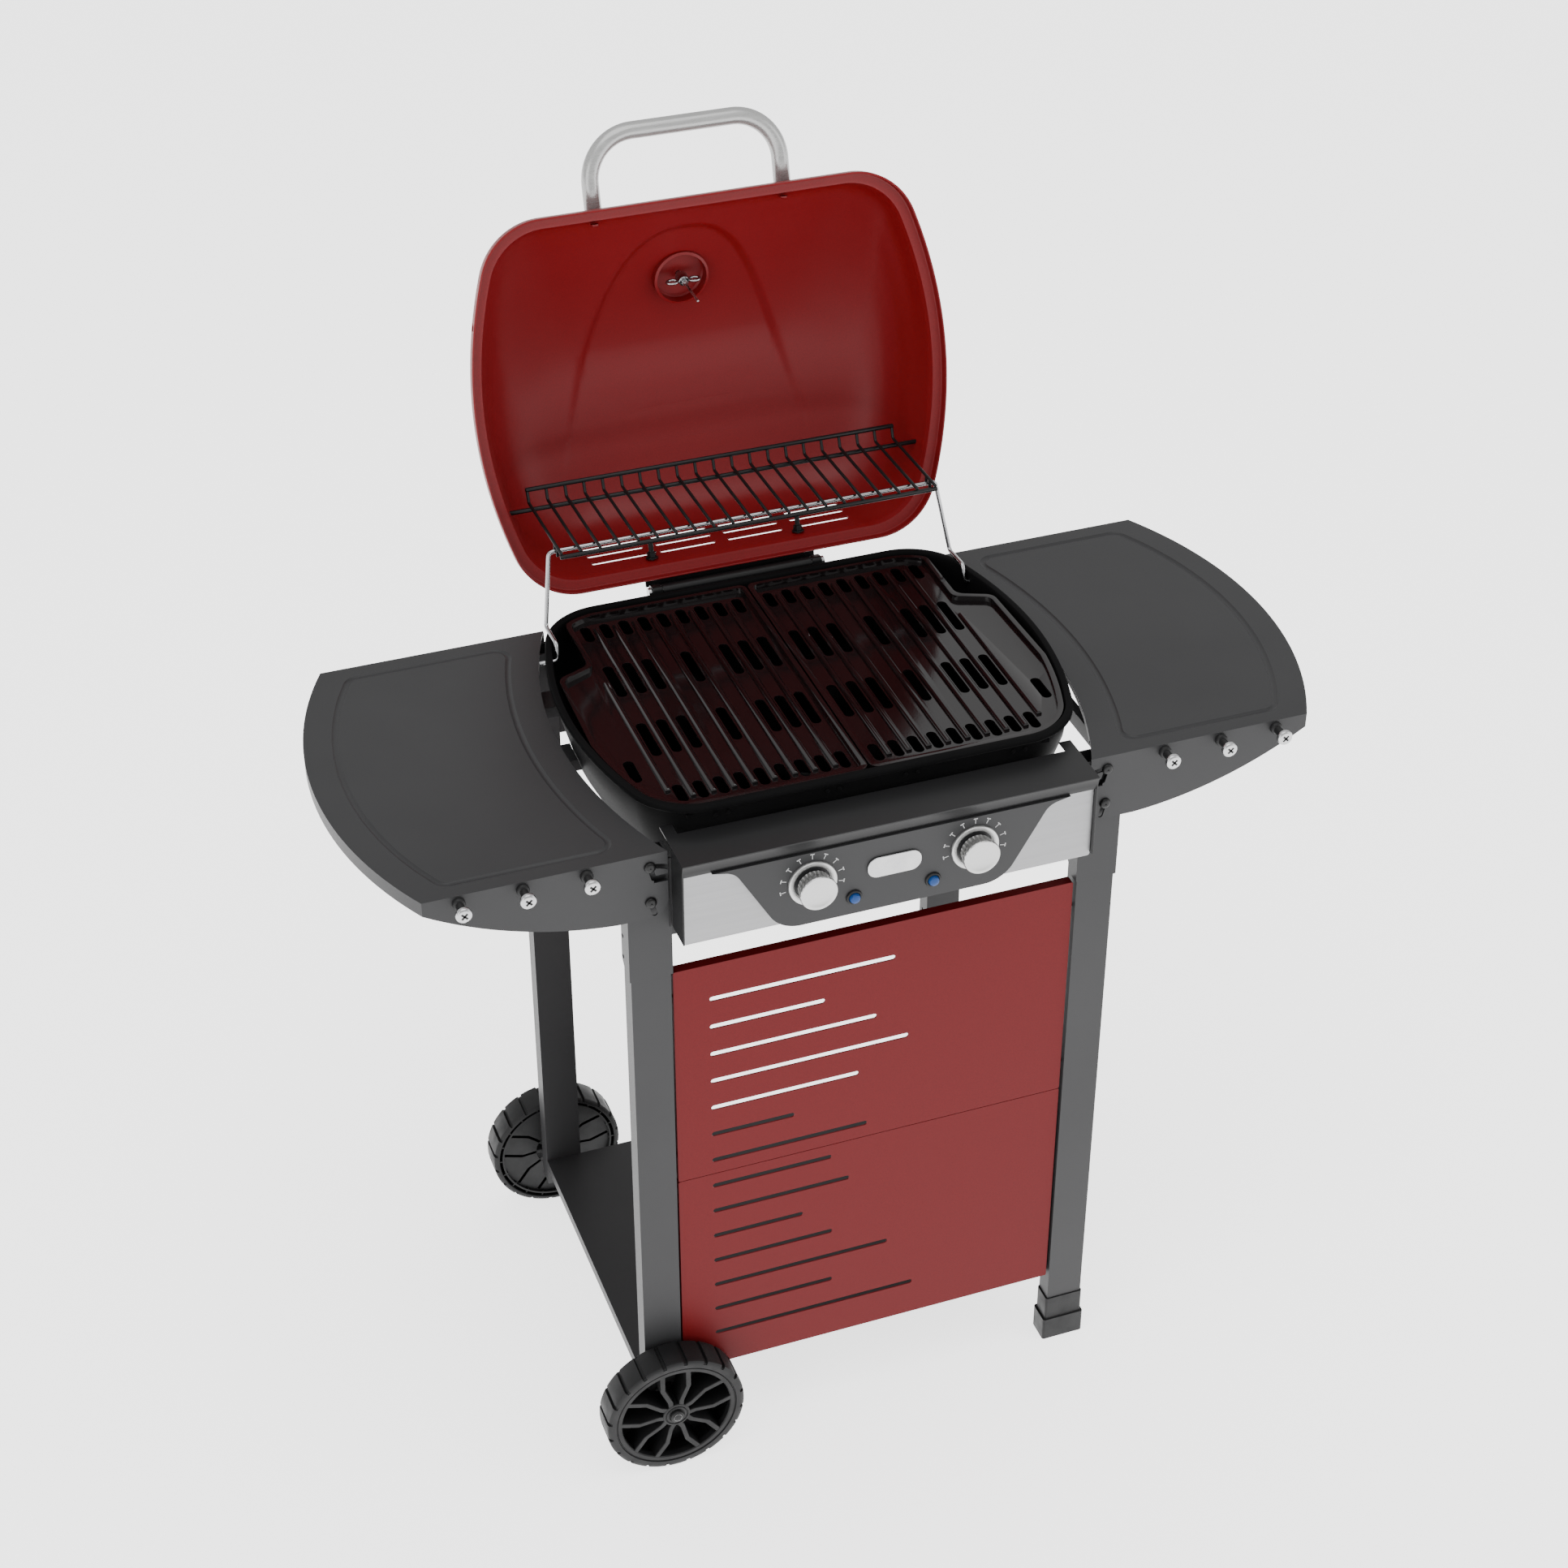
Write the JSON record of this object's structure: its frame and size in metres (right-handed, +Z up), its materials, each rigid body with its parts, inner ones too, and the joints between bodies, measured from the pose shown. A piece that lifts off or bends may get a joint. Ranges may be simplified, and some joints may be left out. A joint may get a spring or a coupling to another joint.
{
  "type": "gas barbecue grill",
  "caption": "Gas barbecue grill on a wheeled cart: hinged domed lid, firebox with grates and burners, swing-up warming rack, control panel with knobs, folding side shelves.",
  "frame": {"origin": "bottom centre of the bounding box, on the floor, with the lid open and the shelves up", "axes": "+X to the grill's right as seen from the front, +Y to the back, +Z up; the control panel faces -Y"},
  "size_m": [1.1318, 0.7411, 1.4146],
  "materials": {
    "lid_red": "high gloss",
    "panel_red": "satin",
    "black_enamel": "glossy",
    "dark_grey_paint": "fine satin texture",
    "plate_silver": "brushed",
    "satin_steel": "satin",
    "chrome": "bright",
    "sheet_steel": "plain",
    "black_plastic": "matte",
    "black_steel": "matte",
    "blue_plastic": "glossy",
    "valve_aluminium": "cast",
    "white_ceramic": "glazed"
  },
  "bodies": {
    "cart": {"front_left_leg": "dark_grey_paint", "front_right_leg": "dark_grey_paint", "rear_left_leg": "dark_grey_paint", "rear_right_leg": "dark_grey_paint", "leg_sleeves": "dark_grey_paint", "cross_rails": "dark_grey_paint", "left_side_rail": "dark_grey_paint", "right_side_rail": "dark_grey_paint", "firebox_brackets": "dark_grey_paint", "bottom_shelf": "dark_grey_paint", "panel_fascia": "dark_grey_paint", "panel_cover": "dark_grey_paint", "front_panel_upper": "panel_red", "front_panel_lower": "panel_red", "front_right_foot": "black_plastic", "rear_right_foot": "black_plastic", "axle_caps": "black_plastic", "axle_spacers": "black_plastic", "igniters": "black_plastic", "hinge_lower": "black_steel", "shelf_screws": "black_steel", "frame_screws": "black_steel", "tray_rails": "black_steel", "firebox": "black_enamel", "left_grate": "black_enamel", "right_grate": "black_enamel", "control_panel": "plate_silver", "badge": "plate_silver", "knob_bezels": "satin_steel", "axle": "chrome", "hinge_pin": "chrome", "left_burner": "sheet_steel", "right_burner": "sheet_steel", "flame_tamers": "sheet_steel", "gas_valves": "valve_aluminium", "gas_manifold": "valve_aluminium", "electrodes": "white_ceramic"},
    "lid": {"lid_shell": "lid_red", "handle": "satin_steel", "lid_screws": "black_steel", "thermometer": "satin_steel", "wing_nut": "chrome", "hinge_upper": "black_steel"},
    "bail": {"rack_bail": "chrome"},
    "rack": {"warming_rack": "black_steel"},
    "left_knob": {"left_knob": "satin_steel", "left_valve_stem": "chrome"},
    "right_knob": {"right_knob": "satin_steel", "right_valve_stem": "chrome"},
    "left_button": {"left_igniter_button": "blue_plastic"},
    "right_button": {"right_igniter_button": "blue_plastic"},
    "front_wheel": {"front_wheel": "black_plastic"},
    "rear_wheel": {"rear_wheel": "black_plastic"},
    "left_bushes": {"left_pivot_bushes": "black_plastic"},
    "right_bushes": {"right_pivot_bushes": "black_plastic"},
    "left_shelf": {"left_shelf": "dark_grey_paint", "left_tool_hooks": "satin_steel"},
    "right_shelf": {"right_shelf": "dark_grey_paint", "right_tool_hooks": "satin_steel"},
    "grease_tray": {"grease_tray": "sheet_steel"}
  },
  "joints": [
    {"name": "lid_hinge", "type": "hinge", "parent": "cart", "child": "lid", "pos_m": [0, 0.15705, 0.905], "axis": [1, 0, 0], "range_deg": [0, 105]},
    {"name": "bail_hinge", "type": "hinge", "parent": "cart", "child": "bail", "pos_m": [0, 0.05605, 0.903], "axis": [1, 0, 0], "range_deg": [0, 103]},
    {"name": "rack_hinge", "type": "hinge", "parent": "lid", "child": "rack", "pos_m": [0, 0.22445, 1.0045], "axis": [1, 0, 0], "range_deg": [-103, 0]},
    {"name": "left_shelf_fold", "type": "hinge", "parent": "cart", "child": "left_bushes", "pos_m": [-0.2627, -0.08695, 0.828], "axis": [0, -1, 0], "range_deg": [0, 90]},
    {"name": "left_shelf_lift", "type": "slide", "parent": "left_bushes", "child": "left_shelf", "axis": [-0.2539, 0, 0.9672], "range_m": [0, 0.01654]},
    {"name": "left_knob_turn", "type": "hinge", "parent": "cart", "child": "left_knob", "pos_m": [-0.0933, -0.34695, 0.833], "axis": [0, -1, 0], "range_deg": [0, 180]},
    {"name": "left_button_press", "type": "slide", "parent": "cart", "child": "left_button", "axis": [0, 1, 0], "range_m": [0, 0.004], "stiffness_N_per_m": 400, "springref_m": -0.002},
    {"name": "right_shelf_fold", "type": "hinge", "parent": "cart", "child": "right_bushes", "pos_m": [0.2627, -0.08695, 0.828], "axis": [0, 1, 0], "range_deg": [0, 90]},
    {"name": "right_shelf_lift", "type": "slide", "parent": "right_bushes", "child": "right_shelf", "axis": [0.2539, 0, 0.9672], "range_m": [0, 0.01654]},
    {"name": "right_knob_turn", "type": "hinge", "parent": "cart", "child": "right_knob", "pos_m": [0.0933, -0.34695, 0.833], "axis": [0, -1, 0], "range_deg": [0, 180]},
    {"name": "right_button_press", "type": "slide", "parent": "cart", "child": "right_button", "axis": [0, 1, 0], "range_m": [0, 0.004], "stiffness_N_per_m": 400, "springref_m": -0.002},
    {"name": "front_wheel_spin", "type": "hinge", "parent": "cart", "child": "front_wheel", "pos_m": [-0.261, -0.33095, 0.0855], "axis": [0, 1, 0], "continuous": true},
    {"name": "rear_wheel_spin", "type": "hinge", "parent": "cart", "child": "rear_wheel", "pos_m": [-0.261, 0.16705, 0.0855], "axis": [0, 1, 0], "continuous": true},
    {"name": "tray_slide", "type": "slide", "parent": "cart", "child": "grease_tray", "axis": [0, 1, 0], "range_m": [0, 0.24]}
  ],
  "couplings": [
    {"joint": "bail_hinge", "follows": "lid_hinge", "ratio": 0.98},
    {"joint": "rack_hinge", "follows": "lid_hinge", "ratio": -0.98}
  ]
}
